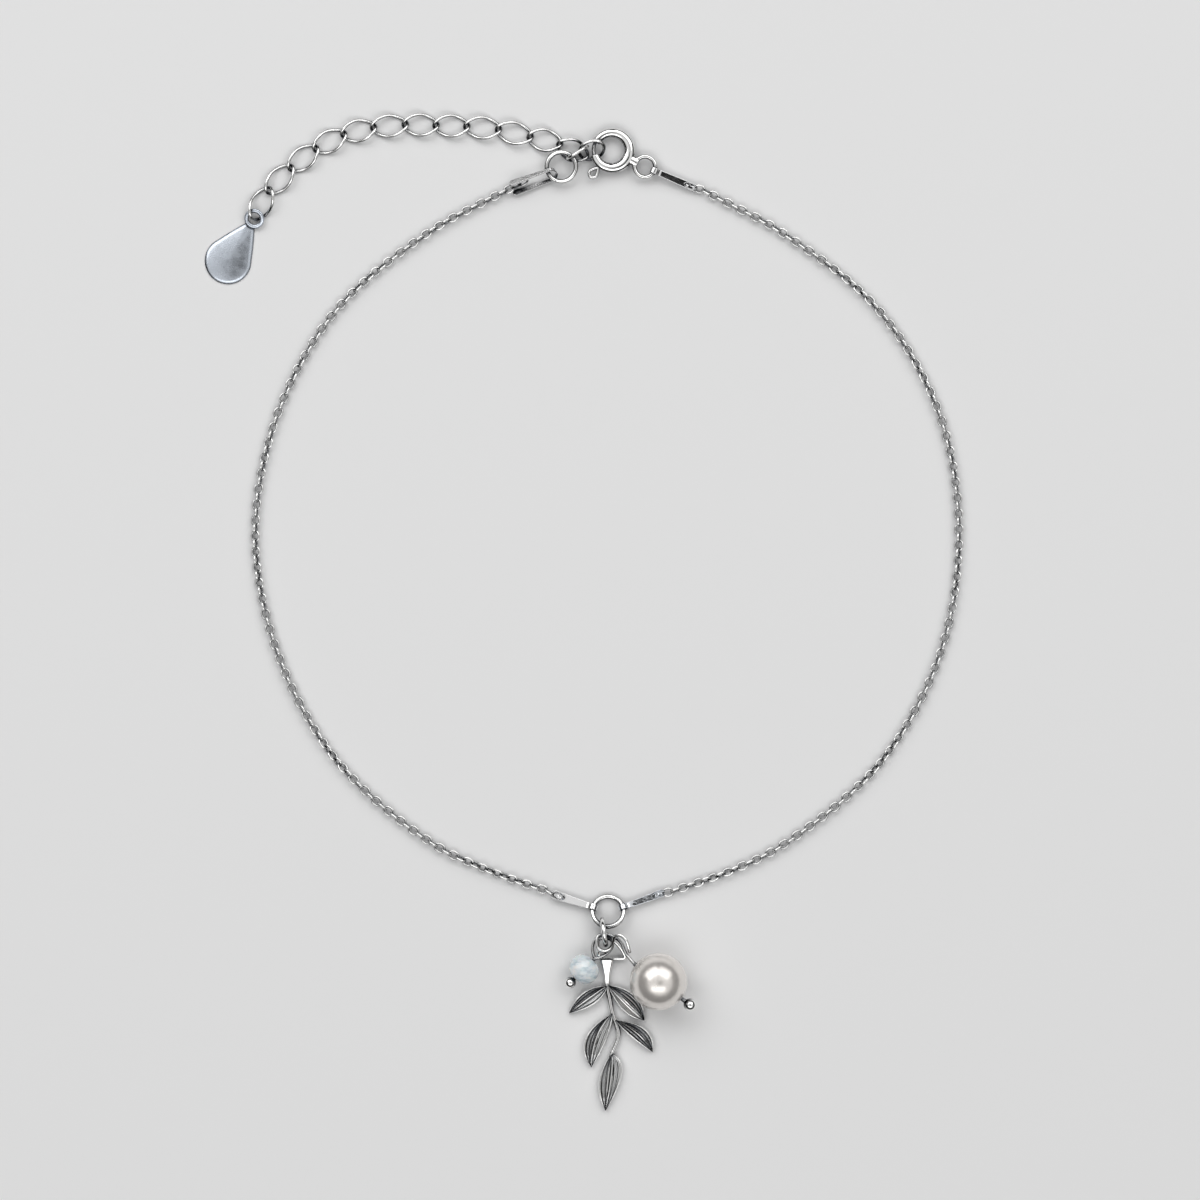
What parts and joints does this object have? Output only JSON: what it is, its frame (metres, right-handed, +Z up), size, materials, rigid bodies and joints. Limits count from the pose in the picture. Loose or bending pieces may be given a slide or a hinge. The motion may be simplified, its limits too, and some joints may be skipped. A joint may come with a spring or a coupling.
{
  "type": "charm anklet",
  "caption": "Fine chain anklet closed by a bolt ring, with an extender chain and drop tag, and a centre ring that carries a leaf sprig, a pearl and a small stone bead.",
  "frame": {"origin": "middle of the anklet's box, on the surface it lies on", "axes": "+Z up from the surface; +Y from the hanging drops towards the clasp; +X to the clasp's chain side"},
  "size_m": [0.079, 0.1038, 0.006],
  "materials": {
    "silver": "polished sterling silver, with fine handling scratches",
    "pearl": "creamy white nacre with a soft lustre",
    "aqua_stone": "milky pale blue stone, faceted and polished, with blue-grey streaks"
  },
  "bodies": {
    "anklet": {"chain_right": "silver", "chain_left": "silver", "centre_ring": "silver", "bail_ring": "silver", "end_ring": "silver", "clasp_end_tag": "silver", "centre_left_tag": "silver", "centre_right_tag": "silver", "extender_end_tag": "silver", "clasp_body": "silver", "extender_link_01": "silver", "extender_link_02": "silver", "extender_link_03": "silver", "extender_link_04": "silver", "extender_link_05": "silver", "extender_link_06": "silver", "extender_link_07": "silver", "extender_link_08": "silver", "extender_link_09": "silver", "extender_link_10": "silver", "extender_link_11": "silver", "extender_link_12": "silver", "extender_link_13": "silver", "extender_link_14": "silver", "drop_tag": "silver", "leaf_charm": "silver", "pearl_headpin": "silver", "aqua_headpin": "silver", "pearl": "pearl", "aqua_bead": "aqua_stone"},
    "gate": {"clasp_gate": "silver"}
  },
  "joints": [
    {"name": "clasp_gate_turn", "type": "hinge", "parent": "anklet", "child": "gate", "pos_m": [0.00291, 0.04799, 0.00085], "axis": [0, 0, 1], "range_deg": [0, 50], "stiffness_Nm_per_rad": 0.002}
  ]
}
